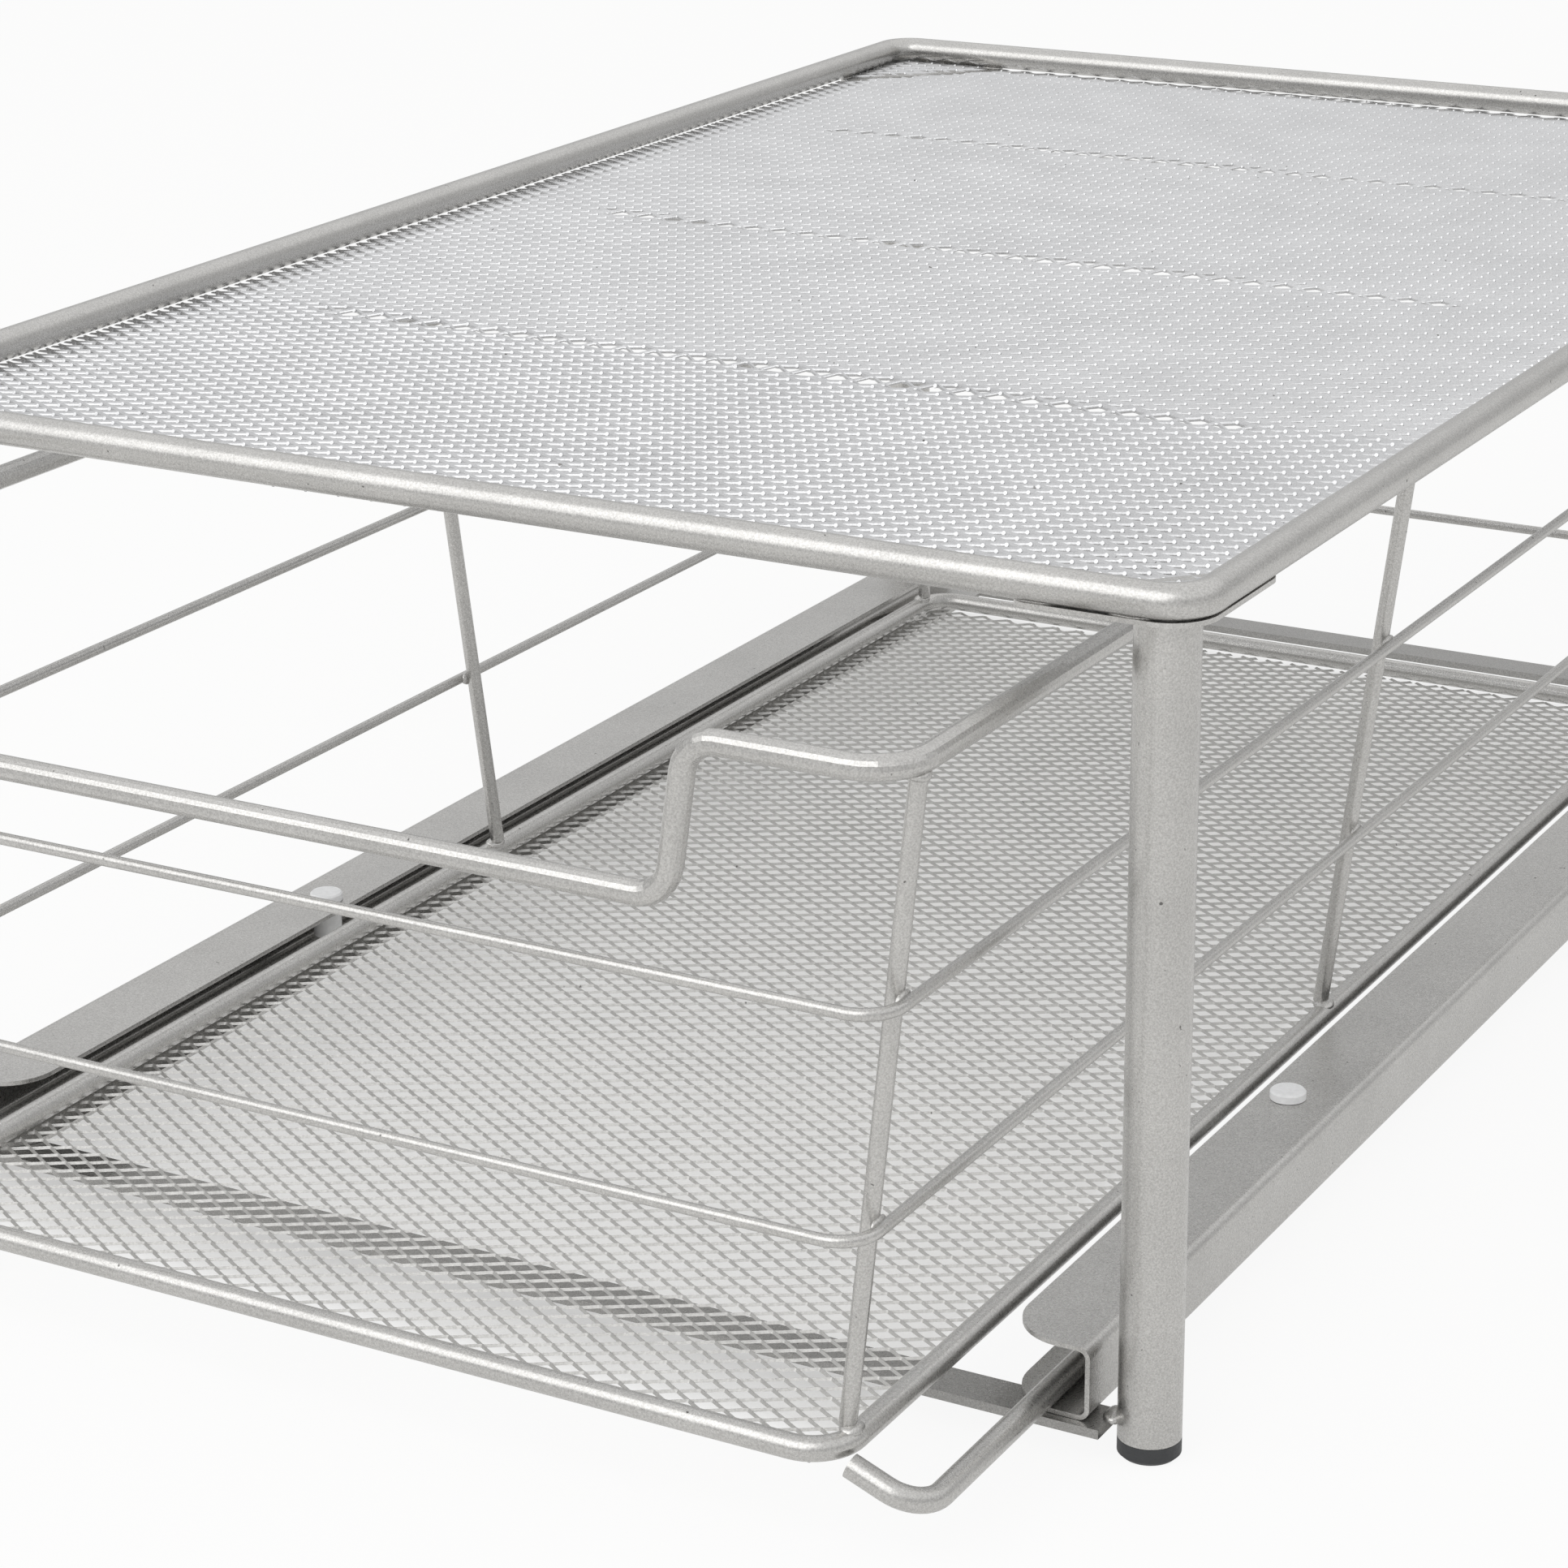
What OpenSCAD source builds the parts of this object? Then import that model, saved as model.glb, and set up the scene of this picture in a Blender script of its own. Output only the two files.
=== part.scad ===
// Sliding drawer organizer. A wire drawer with a mesh floor runs in two channel rails,
// below a mesh shelf that stands on four tube legs. The front faces -Y and +Z is up.
// Welded pieces are separate solids that stop a weld gap short of each other.

/* [Overall] */
// Width over the shelf's rim wire
overall_w = 324; // [300:1:360]
// Depth of the frame, which the shut drawer matches
overall_l = 498; // [450:1:560]
// Height of the shelf's rim wire above the ground
overall_h = 180; // [165:1:220]
// How far the drawer is drawn out
pull = 58; // [0:1:300]

/* [Shelf] */
// Diameter of the shelf's rim wire
shelf_rim_d = 7; // [6:0.5:8]
// Bend radius of the shelf's rim wire, to its centre line
shelf_bend_r = 8; // [6:0.5:12]
// Overall thickness of the expanded mesh sheets
mesh_t = 0.8; // [0.6:0.1:1.4]
// How far a mesh sheet's edge stays inside the centre line of its rim wire
mesh_inset = 1; // [0:0.25:1.5]
// Length of a gap in the mesh, centre to centre across the width
cell_l = 50; // [45:1:70]
// Width of a strand between two gaps
strand_w = 4; // [2:0.5:6]
// Distance from the front run of the rim wire to the first pressed bead
bead_setback = 132; // [120:1:150]
// Distance from one pressed bead to the next
bead_pitch = 125.2; // [100:0.1:130]
// Width of a pressed bead
bead_w = 6.5; // [6:0.5:12]
// Depth of a pressed bead
bead_depth = 1.5; // [0.75:0.25:2]
// Distance from a side run of the rim wire to the end of a bead
bead_margin = 39; // [25:1:60]

/* [Gussets and legs] */
// Thickness of a corner gusset
gusset_t = 1; // [0.8:0.1:2]
// Arm of a gusset across the width, from the gusset's own outer edge
gusset_arm_w = 38; // [32:1:50]
// Arm of a gusset along the depth, from the gusset's own outer edge
gusset_arm_l = 39; // [32:1:60]
// Radius at the end of a gusset's arm
gusset_end_r = 4; // [2:0.5:6]
// How far a gusset's edge stays inside the rim wire's outer side
gusset_inset = 1.8; // [1:0.2:3]
// Diameter of a leg tube
leg_d = 12.7; // [11:0.1:15]
// Wall of a leg tube
leg_wall = 1; // [0.8:0.1:1.5]
// Distance from the rim wire's centre line to a leg's axis
leg_inset = 8.5; // [8:0.25:12]
// Height of a foot cap below the tube
foot_h = 3.8; // [3:0.2:6]
// Length of a foot cap's stem inside the tube
foot_stem_l = 12; // [8:1:20]
// Chamfer round the sole of a foot cap
foot_chamfer = 0.8; // [0.4:0.1:1.5]

/* [Rails] */
// Width of a cross bar, along the depth
bar_w = 10; // [8:0.5:14]
// Thickness of a cross bar
bar_t = 2; // [1.5:0.25:3]
// Height of a cross bar's underside above the ground
bar_h = 5.8; // [4.5:0.1:8]
// Distance from the frame's front to the front bar, and the same behind
bar_setback = 2; // [1:0.5:5]
// Height of a rail
rail_h = 15.8; // [15:0.1:20]
// Width of a rail's flanges, over the web
rail_w = 19; // [17:0.5:22]
// Sheet thickness of a rail
rail_t = 1; // [0.8:0.1:1.2]
// Outer bend radius between a rail's web and its flanges
rail_bend_r = 2.5; // [2:0.25:3]
// Radius at the free corners of a rail's flanges
rail_corner_r = 12; // [8:0.5:14]
// Distance from the frame's front to the rails, and the same behind
rail_setback = 4; // [3:0.5:8]
// Gap between a rail's web and a leg
rail_leg_gap = 3; // [2:0.25:5]

/* [Glides] */
// Diameter of a glide's head, above the flange
glide_head_d = 8; // [7:0.25:10]
// Height of a glide's head
glide_head_h = 2; // [1:0.25:3]
// Diameter of a glide's shank, in the flange
glide_shank_d = 4.6; // [4:0.2:5]
// Diameter of a glide's body, in the channel
glide_body_d = 7; // [6:0.25:8]
// Chamfer round a glide's head
glide_chamfer = 0.4; // [0.2:0.1:0.8]
// Clearance round a glide's shank in its hole
glide_hole_play = 0.1; // [0.05:0.05:0.3]
// Distance from the frame's front to the glides
glide_setback = 132; // [110:1:160]
// Distance from the flange's edge to a glide's axis
glide_inset = 6.6; // [6:0.1:8]
// Gap between a glide's body and the runner below it
glide_play = 0.5; // [0.3:0.1:0.8]

/* [Drawer] */
// Diameter of the drawer's rim wire, its floor wire and its runners
drawer_rim_d = 5; // [4:0.25:6]
// Bend radius at the corners of the drawer's rim wire, to its centre line
drawer_bend_r = 10; // [8:0.5:14]
// Gap between the drawer's rim wire and a leg, seen from the front
drawer_leg_gap = 10.85; // [8:0.05:14]
// Gap between the drawer's rim wire and the gussets above it
drawer_head_gap = 10.9; // [6:0.1:14]
// Depth of the dip in the drawer's front
dip_depth = 31.3; // [25:0.1:36]
// Lean of the dip's steps from upright
dip_lean = 8.5; // [3:0.5:15]
// Distance from the rim wire's side run to the top of the dip's step
dip_shoulder = 42.4; // [36:0.1:50]
// Bend radius in the dip, to the wire's centre line
dip_bend_r = 7.5; // [5:0.5:9]
// Gap between the floor wire and the rails' flanges
floor_rail_gap = 4.5; // [3:0.1:6]
// Height of the floor wire above the runners, centre to centre
floor_rise = 9.1; // [8:0.1:12]
// How far the floor wire stays behind the rim wire, at the front and at the back
floor_setin = 3.5; // [0:0.5:8]
// Bend radius at the corners of the floor wire, to its centre line
floor_bend_r = 9; // [7:0.5:12]

/* [Side wires and runners] */
// Diameter of an upright
upright_d = 3.5; // [3:0.25:4]
// How far an upright's foot stands inside the floor wire's centre line
upright_foot_inset = 1.2; // [0.5:0.1:1.6]
// How far an upright's head stands inside the rim wire's centre line
upright_head_inset = 0.4; // [0:0.1:1]
// Distance of a corner upright from the front or rear run of the rims
corner_upright_setback = 8; // [7:0.5:14]
// How far the middle uprights stand in front of the drawer's middle
middle_upright_shift = 4; // [0:0.5:20]
// Diameter of the thin wires round the drawer
thin_d = 2.5; // [2:0.25:3]
// Bend radius of the thin wires, to their centre line
thin_bend_r = 8; // [6:0.5:9]
// How far the thin wires stand out from the front of the drawer's rims
thin_proud = 2.4; // [1.5:0.1:2.6]
// Distance from the flange's edge to a runner's centre line, inside the channel
runner_depth = 9.6; // [8:0.1:11]
// Gap between a runner and the rail's lower flange
runner_play = 0.3; // [0.2:0.05:0.6]
// Bend radius of a runner's ends, to its centre line
runner_bend_r = 8; // [6:0.5:10]
// How far a runner's ends stay behind the floor wire's front and rear runs
runner_setin = 3.8; // [3:0.1:6]
// How far a runner's end lies below the middle of the floor wire
stub_drop = 2.4; // [1:0.1:3]

/* [Hidden] */
$fn = 48;

// Gap left between two welded pieces
weld_gap = 0.1;
// Clearance of a foot cap's stem in its tube
stem_play = 0.1;
// How far a cutting shape runs past what it cuts
overrun = 1;
// Finest step of a size that comes from an angle
size_step = 0.01;
// Sides of the swept wire, and steps in each of its bends
wire_sides = 16;
bend_steps = 6;
// Thin wires divide the drawer's height in this many parts
wire_rows = 3;
// Number of pressed beads in the shelf
bead_count = 3;
// Long way of a mesh gap over its short way
mesh_aspect = 1.7;
// What the inside of a bead loses in width and length to the sheet's thickness
bead_skin = 2 * (sqrt(2) - 1) * mesh_t;

// The frame and the drawer lie to either side of the part's middle
frame_y = pull / 2;
drawer_y = -pull / 2;

// Shelf, whose mesh and gussets both lie right below the rim wire
shelf_half_w = (overall_w - shelf_rim_d) / 2;
shelf_half_l = (overall_l - shelf_rim_d) / 2;
shelf_rim_z = overall_h - shelf_rim_d / 2;
shelf_under_z = overall_h - shelf_rim_d - weld_gap;
shelf_mesh_z = shelf_under_z - mesh_t;
gusset_z = shelf_under_z - gusset_t;
gusset_edge_x = shelf_half_w + shelf_rim_d / 2 - gusset_inset;
gusset_edge_y = shelf_half_l + shelf_rim_d / 2 - gusset_inset;
gusset_corner_r = shelf_bend_r + shelf_rim_d / 2 - gusset_inset;

// Legs and feet
leg_x = shelf_half_w - leg_inset;
leg_y = shelf_half_l - leg_inset;
leg_z = foot_h + weld_gap;
leg_top = gusset_z - weld_gap;
leg_inner_x = leg_x - leg_d / 2;

// Cross bars and rails
bar_y = overall_l / 2 - bar_setback - bar_w / 2;
rail_z = bar_h + bar_t + weld_gap;
rail_top = rail_z + rail_h;
rail_web_x = leg_inner_x - rail_leg_gap;
rail_mouth_x = rail_web_x - rail_w;
rail_half_l = overall_l / 2 - rail_setback;

// Runners
runner_x = rail_mouth_x + runner_depth;
runner_z = rail_z + rail_t + runner_play + drawer_rim_d / 2;

// Glides
glide_x = rail_mouth_x + glide_inset;
glide_y = frame_y - overall_l / 2 + glide_setback;
glide_bottom = runner_z + drawer_rim_d / 2 + glide_play;

// Drawer rims
rim_half_w = leg_inner_x - drawer_leg_gap - drawer_rim_d / 2;
rim_half_l = (overall_l - drawer_rim_d) / 2;
rim_z = gusset_z - drawer_head_gap - drawer_rim_d / 2;
floor_half_w = rail_mouth_x - floor_rail_gap - drawer_rim_d / 2;
floor_half_l = rim_half_l - floor_setin;
floor_z = runner_z + floor_rise;
floor_mesh_z = floor_z - drawer_rim_d / 2 - weld_gap - mesh_t;
runner_half_l = floor_half_l - runner_setin;

// Uprights lean outward from the floor wire to the rim wire
foot_x = floor_half_w - upright_foot_inset;
head_x = rim_half_w - upright_head_inset;
lean = atan((head_x - foot_x) / (rim_z - floor_z - drawer_rim_d));
lean_drop = upright_d / 2 * sin(lean);
foot_z = floor_z + drawer_rim_d / 2 + weld_gap + lean_drop;
head_z = rim_z - drawer_rim_d / 2 - weld_gap - lean_drop;

// Runner ends rise towards the floor wire's corners
stub_across = runner_x - floor_half_w;
stub_reach = norm([stub_across, floor_rise]);
stub_tilt = atan(floor_rise / stub_across) - asin(stub_drop / stub_reach);
stub_l = sqrt(pow(stub_reach, 2) - pow(stub_drop, 2)) - drawer_rim_d / 2 - weld_gap;

coat = "#b4b5b4";
sheet_coat = "#a9abab";
black_plastic = "#2b2c2e";
white_plastic = "#e9eaea";

function unit(v) = v / norm(v);
function stepped(size) = round(size / size_step) * size_step;
function between(a, b, share) = a + (b - a) * share;

// Quarter turn of a wire, from +X towards +Y
module quarter_bend(bend_r, wire_d) {
    rotate_extrude(angle = 90)
        translate([bend_r, 0])
            circle(d = wire_d);
}

// Straight wire from the origin along +Y
module run_y(length, wire_d) {
    rotate([-90, 0, 0])
        cylinder(d = wire_d, h = length);
}

// Wire bent to a flat closed rectangle, sized to its centre line
module wire_loop(half_w, half_l, bend_r, wire_d) {
    across = half_w - bend_r;
    along = half_l - bend_r;
    for (turn = [0, 180]) {
        rotate(turn) {
            translate([half_w, -along, 0])
                run_y(2 * along, wire_d);
            translate([across, half_l, 0])
                rotate(90)
                    run_y(2 * across, wire_d);
            translate([across, along, 0])
                quarter_bend(bend_r, wire_d);
            translate([-across, along, 0])
                rotate(90)
                    quarter_bend(bend_r, wire_d);
        }
    }
}

// Stations [place, heading] round the bend at b, on the way from a to c
function bend_stations(a, b, c, bend_r) =
    let (
        inward = unit(b - a),
        outward = unit(c - b),
        turn = acos(inward * outward),
        axis = unit(cross(inward, outward)),
        start = b - inward * bend_r * tan(turn / 2),
        spoke = -cross(axis, inward) * bend_r
    )
    [for (i = [0:bend_steps])
        let (
            t = turn * i / bend_steps,
            heading = inward * cos(t) + cross(axis, inward) * sin(t)
        )
        [start - spoke + spoke * cos(t) + cross(axis, spoke) * sin(t), heading]];

// Ring of points round a station, with its first point level with the wire
function ring(station, wire_d) =
    let (
        side = unit(cross(station[1], [0, 0, 1])),
        up = cross(side, station[1])
    )
    [for (i = [0:wire_sides - 1])
        let (a = 360 * i / wire_sides)
        station[0] + (side * cos(a) + up * sin(a)) * wire_d / 2];

// Closed wire through corners, with every corner rounded by its own bend radius
module bent_wire(corners, bend_radii, wire_d) {
    count = len(corners);
    stations = [for (i = [0:count - 1])
        each bend_stations(corners[(i + count - 1) % count], corners[i],
            corners[(i + 1) % count], bend_radii[i])];
    rings = len(stations);
    skin = [for (r = [0:rings - 1], i = [0:wire_sides - 1])
        let (
            here = r * wire_sides,
            next = ((r + 1) % rings) * wire_sides,
            j = (i + 1) % wire_sides
        )
        each [[here + i, next + i, next + j], [here + i, next + j, here + j]]];
    polyhedron([for (s = stations) each ring(s, wire_d)], skin);
}

// Rounded plan outline of a mesh sheet
module sheet_outline(half_w, half_l, corner_r) {
    across = half_w - corner_r;
    along = half_l - corner_r;
    square([2 * across, 2 * half_l], center = true);
    square([2 * half_w, 2 * along], center = true);
    for (x = [-across, across], y = [-along, along])
        translate([x, y])
            circle(corner_r);
}

// Diamond gaps in staggered rows over a rectangle, cut off square at its edges
module mesh_gaps(half_w, half_l, depth) {
    columns = round(2 * half_w / cell_l);
    pitch_x = 2 * half_w / columns;
    rows = round(2 * half_l / (pitch_x / mesh_aspect));
    pitch_y = 2 * half_l / rows;
    strand_angle = atan(pitch_y / pitch_x);
    gap_x = (pitch_x - strand_w / sin(strand_angle)) / 2;
    gap_y = (pitch_y - strand_w / cos(strand_angle)) / 2;
    corners = [[-gap_x, 0], [0, -gap_y], [gap_x, 0], [0, gap_y]];
    for (j = [0:2 * rows], i = [0:columns]) {
        centre = [-half_w + (i + (j % 2) / 2) * pitch_x, -half_l + j * pitch_y / 2];
        if (centre.x < half_w + gap_x)
            linear_extrude(depth)
                polygon([for (c = corners)
                    [max(-half_w, min(half_w, centre.x + c.x)),
                     max(-half_l, min(half_l, centre.y + c.y))]]);
    }
}

// Solid ridge of a pressed bead with sloping ends, standing below the plane z = 0
module bead_ridge(length, width, depth) {
    intersection() {
        translate([-length / 2, 0, 0])
            rotate([90, 0, 90])
                linear_extrude(length)
                    bead_profile(width, depth);
        translate([0, width / 2, 0])
            rotate([90, 0, 0])
                linear_extrude(width)
                    bead_profile(length, depth);
    }
}

// Flat-bottomed profile whose sides slope at 45 degrees
module bead_profile(width, depth) {
    polygon([[-width / 2, 0], [-width / 2 + depth, -depth],
             [width / 2 - depth, -depth], [width / 2, 0]]);
}

module shelf_rim() {
    color(coat)
        translate([0, frame_y, shelf_rim_z])
            wire_loop(shelf_half_w, shelf_half_l, shelf_bend_r, shelf_rim_d);
}

// Sheet with beads pressed across it. Its corners stop at the gussets.
module shelf_mesh() {
    bead_l = 2 * (shelf_half_w - bead_margin);
    bead_ys = [for (i = [0:bead_count - 1]) -shelf_half_l + bead_setback + i * bead_pitch];
    color(sheet_coat)
        translate([0, frame_y, shelf_mesh_z])
            difference() {
                union() {
                    linear_extrude(mesh_t)
                        sheet_outline(shelf_half_w - mesh_inset, shelf_half_l - mesh_inset,
                            shelf_bend_r - mesh_inset);
                    for (y = bead_ys)
                        translate([0, y, 0])
                            bead_ridge(bead_l, bead_w, bead_depth);
                }
                for (y = bead_ys)
                    translate([0, y, mesh_t])
                        bead_ridge(bead_l - bead_skin, bead_w - bead_skin, bead_depth);
                translate([0, 0, -bead_depth - overrun])
                    mesh_gaps(shelf_half_w - shelf_rim_d / 2, shelf_half_l - shelf_rim_d / 2,
                        bead_depth + mesh_t + 2 * overrun);
                for (x = [-1, 1], y = [-1, 1])
                    translate([0, 0, -overrun])
                        scale([x, y, 1])
                            linear_extrude(mesh_t + 2 * overrun)
                                gusset_outline(weld_gap);
            }
}

// Outline of the plate below the shelf's corner at +X and +Y, grown by a margin
module gusset_outline(margin) {
    end_r = gusset_end_r + margin;
    hull() {
        translate([gusset_edge_x - gusset_corner_r, gusset_edge_y - gusset_corner_r])
            circle(gusset_corner_r + margin);
        translate([gusset_edge_x - gusset_arm_w + gusset_end_r, gusset_edge_y - gusset_end_r])
            circle(end_r);
        translate([gusset_edge_x - gusset_end_r, gusset_edge_y - gusset_arm_l + gusset_end_r])
            circle(end_r);
    }
}

// Plate below one corner of the shelf, to which a leg is welded
module gusset(side_x, side_y) {
    color(coat)
        translate([0, frame_y, gusset_z])
            scale([side_x, side_y, 1])
                linear_extrude(gusset_t)
                    gusset_outline(0);
}

module leg(side_x, side_y) {
    length = leg_top - leg_z;
    color(coat)
        translate([side_x * leg_x, frame_y + side_y * leg_y, leg_z])
            difference() {
                cylinder(d = leg_d, h = length);
                translate([0, 0, -overrun])
                    cylinder(d = leg_d - 2 * leg_wall, h = length + 2 * overrun);
            }
}

// Plug that closes a leg, with a stem inside the tube
module foot(side_x, side_y) {
    sole_r = leg_d / 2;
    stem_r = leg_d / 2 - leg_wall - stem_play;
    color(black_plastic)
        translate([side_x * leg_x, frame_y + side_y * leg_y, 0])
            rotate_extrude()
                polygon([[0, 0], [sole_r - foot_chamfer, 0], [sole_r, foot_chamfer],
                         [sole_r, foot_h], [stem_r, foot_h], [stem_r, foot_h + foot_stem_l],
                         [0, foot_h + foot_stem_l]]);
}

// Flat bar between two legs, on which the rails sit
module cross_bar(side_y) {
    half_l = leg_inner_x - weld_gap;
    color(coat)
        translate([-half_l, frame_y + side_y * bar_y - bar_w / 2, bar_h])
            cube([2 * half_l, bar_w, bar_t]);
}

// Bent quarter of the rail's section, from +X towards +Y
module section_bend() {
    intersection() {
        difference() {
            circle(rail_bend_r);
            circle(rail_bend_r - rail_t);
        }
        square(rail_bend_r);
    }
}

// Section of a rail, open towards -X, with its web's outer face at x = 0
module rail_section() {
    flat_w = rail_w - rail_bend_r;
    translate([-rail_t, rail_bend_r])
        square([rail_t, rail_h - 2 * rail_bend_r]);
    for (side = [0, 1])
        translate([0, side * rail_h])
            mirror([0, side]) {
                translate([-rail_w, 0])
                    square([flat_w, rail_t]);
                translate([-rail_bend_r, rail_bend_r])
                    rotate(-90)
                        section_bend();
            }
}

// Square corner less a quarter disc, as a cutter for a rounded corner at the origin
module corner_cutter(corner_r, depth) {
    difference() {
        translate([-overrun, -overrun, 0])
            cube([corner_r + overrun, corner_r + overrun, depth]);
        translate([corner_r, corner_r, -overrun])
            cylinder(r = corner_r, h = depth + 2 * overrun);
    }
}

module rail(side_x) {
    color(coat)
        scale([side_x, 1, 1])
            difference() {
                translate([rail_web_x, frame_y + rail_half_l, rail_z])
                    rotate([90, 0, 0])
                        linear_extrude(2 * rail_half_l)
                            rail_section();
                for (end = [-1, 1])
                    translate([rail_mouth_x, frame_y + end * rail_half_l, rail_z - overrun])
                        scale([1, -end, 1])
                            corner_cutter(rail_corner_r, rail_h + 2 * overrun);
                translate([glide_x, glide_y, rail_top - rail_t - overrun])
                    cylinder(d = glide_shank_d + 2 * glide_hole_play, h = rail_t + 2 * overrun);
            }
}

// Plastic rivet in a rail's upper flange. Its body holds the runner down and stops the drawer.
module glide(side_x) {
    head_r = glide_head_d / 2;
    shank_r = glide_shank_d / 2;
    body_r = glide_body_d / 2;
    head_z = rail_top + weld_gap;
    head_top = head_z + glide_head_h;
    body_top = rail_top - rail_t - weld_gap;
    color(white_plastic)
        translate([side_x * glide_x, glide_y, 0])
            rotate_extrude()
                polygon([[0, glide_bottom], [body_r, glide_bottom], [body_r, body_top],
                         [shank_r, body_top], [shank_r, head_z], [head_r, head_z],
                         [head_r, head_top - glide_chamfer],
                         [head_r - glide_chamfer, head_top], [0, head_top]]);
}

// Upper rim of the drawer, with the dip that its front is pulled by
module drawer_rim() {
    low_z = rim_z - dip_depth;
    high_x = rim_half_w - dip_shoulder;
    low_x = high_x - dip_depth * tan(dip_lean);
    corners = [
        [-rim_half_w, -rim_half_l, rim_z],
        [-high_x, -rim_half_l, rim_z],
        [-low_x, -rim_half_l, low_z],
        [low_x, -rim_half_l, low_z],
        [high_x, -rim_half_l, rim_z],
        [rim_half_w, -rim_half_l, rim_z],
        [rim_half_w, rim_half_l, rim_z],
        [-rim_half_w, rim_half_l, rim_z]];
    bends = [drawer_bend_r, dip_bend_r, dip_bend_r, dip_bend_r, dip_bend_r, drawer_bend_r,
        drawer_bend_r, drawer_bend_r];
    color(coat)
        translate([0, drawer_y, 0])
            bent_wire(corners, bends, drawer_rim_d);
}

module floor_rim() {
    color(coat)
        translate([0, drawer_y, floor_z])
            wire_loop(floor_half_w, floor_half_l, floor_bend_r, drawer_rim_d);
}

module floor_mesh() {
    color(sheet_coat)
        translate([0, drawer_y, floor_mesh_z])
            difference() {
                linear_extrude(mesh_t)
                    sheet_outline(floor_half_w - mesh_inset, floor_half_l - mesh_inset,
                        floor_bend_r - mesh_inset);
                translate([0, 0, -overrun])
                    mesh_gaps(floor_half_w - drawer_rim_d / 2, floor_half_l - drawer_rim_d / 2,
                        mesh_t + 2 * overrun);
            }
}

// Thin wire round the outside of the uprights, at a share of the drawer's height
module thin_wire(share) {
    z = between(floor_z, rim_z, share);
    upright_x = between(foot_x, head_x, (z - foot_z) / (head_z - foot_z));
    half_w = stepped(upright_x + (upright_d / 2 + thin_d / 2) / cos(lean) + weld_gap);
    half_l = stepped(between(floor_half_l, rim_half_l, share) + thin_proud);
    color(coat)
        translate([0, drawer_y, z])
            wire_loop(half_w, half_l, thin_bend_r, thin_d);
}

// Side wire between the floor wire and the rim wire, at distances along the depth
module upright(side_x, foot_y, head_y) {
    low = [side_x * foot_x, drawer_y + foot_y, foot_z];
    high = [side_x * head_x, drawer_y + head_y, head_z];
    axis = high - low;
    color(coat)
        translate(low)
            rotate([0, acos(axis.z / norm(axis)), atan2(axis.y, axis.x)])
                cylinder(d = upright_d, h = norm(axis));
}

module corner_upright(side_x, side_y) {
    upright(side_x, side_y * (floor_half_l - corner_upright_setback),
        side_y * (rim_half_l - corner_upright_setback));
}

module middle_upright(side_x) {
    upright(side_x, -middle_upright_shift, -middle_upright_shift);
}

// Runner wire in a rail. Both ends turn in and up to the floor wire's corners.
module runner(side_x) {
    along = runner_half_l - runner_bend_r;
    color(coat)
        scale([side_x, 1, 1])
            translate([runner_x, drawer_y, runner_z])
                rotate([0, stub_tilt, 0]) {
                    translate([0, -along, 0])
                        run_y(2 * along, drawer_rim_d);
                    for (end = [0, 1])
                        mirror([0, end, 0]) {
                            translate([-runner_bend_r, along, 0])
                                quarter_bend(runner_bend_r, drawer_rim_d);
                            translate([-runner_bend_r, runner_half_l, 0])
                                rotate(90)
                                    run_y(stub_l - runner_bend_r, drawer_rim_d);
                        }
                }
}

shelf_rim();
shelf_mesh();
gusset(-1, -1);  // gusset_front_left
gusset(1, -1);  // gusset_front_right
gusset(-1, 1);  // gusset_rear_left
gusset(1, 1);  // gusset_rear_right
leg(-1, -1);  // leg_front_left
leg(1, -1);  // leg_front_right
leg(-1, 1);  // leg_rear_left
leg(1, 1);  // leg_rear_right
foot(-1, -1);  // foot_front_left
foot(1, -1);  // foot_front_right
foot(-1, 1);  // foot_rear_left
foot(1, 1);  // foot_rear_right
cross_bar(-1);  // front_bar
cross_bar(1);  // rear_bar
rail(-1);  // rail_left
rail(1);  // rail_right
glide(-1);  // glide_left
glide(1);  // glide_right
drawer_rim();
floor_rim();
floor_mesh();
thin_wire(2 / wire_rows);  // upper_wire
thin_wire(1 / wire_rows);  // lower_wire
corner_upright(-1, -1);  // upright_front_left
corner_upright(1, -1);  // upright_front_right
middle_upright(-1);  // upright_middle_left
middle_upright(1);  // upright_middle_right
corner_upright(-1, 1);  // upright_rear_left
corner_upright(1, 1);  // upright_rear_right
runner(-1);  // runner_left
runner(1);  // runner_right
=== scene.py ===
import math

import bmesh
import bpy
from mathutils import Matrix, Vector, noise


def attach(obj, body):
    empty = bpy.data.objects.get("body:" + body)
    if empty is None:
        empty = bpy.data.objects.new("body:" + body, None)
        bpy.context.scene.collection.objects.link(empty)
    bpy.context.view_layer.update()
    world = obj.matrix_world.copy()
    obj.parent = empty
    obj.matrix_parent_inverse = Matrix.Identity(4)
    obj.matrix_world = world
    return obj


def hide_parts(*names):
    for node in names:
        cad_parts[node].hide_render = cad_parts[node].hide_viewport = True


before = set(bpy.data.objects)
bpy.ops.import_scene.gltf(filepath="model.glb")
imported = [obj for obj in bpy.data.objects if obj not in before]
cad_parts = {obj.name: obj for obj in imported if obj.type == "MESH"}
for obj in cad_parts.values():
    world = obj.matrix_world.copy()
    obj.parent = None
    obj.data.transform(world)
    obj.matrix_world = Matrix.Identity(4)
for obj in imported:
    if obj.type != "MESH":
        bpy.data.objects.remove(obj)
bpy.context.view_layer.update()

frameY = 0.029    # the frame stands this far behind the part's middle, the drawer as far in front
drawerY = -0.029
print("stage: frame loaded")


# Camera, at the photograph's place and angle
cameraSetup = {"lens": 95.62, "place": (0.4426, -0.8713, 0.3983), "azimuth": 29.35, "elevation": 19.74,
               "roll": -0.55, "clip": (0.02, 40)}


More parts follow.
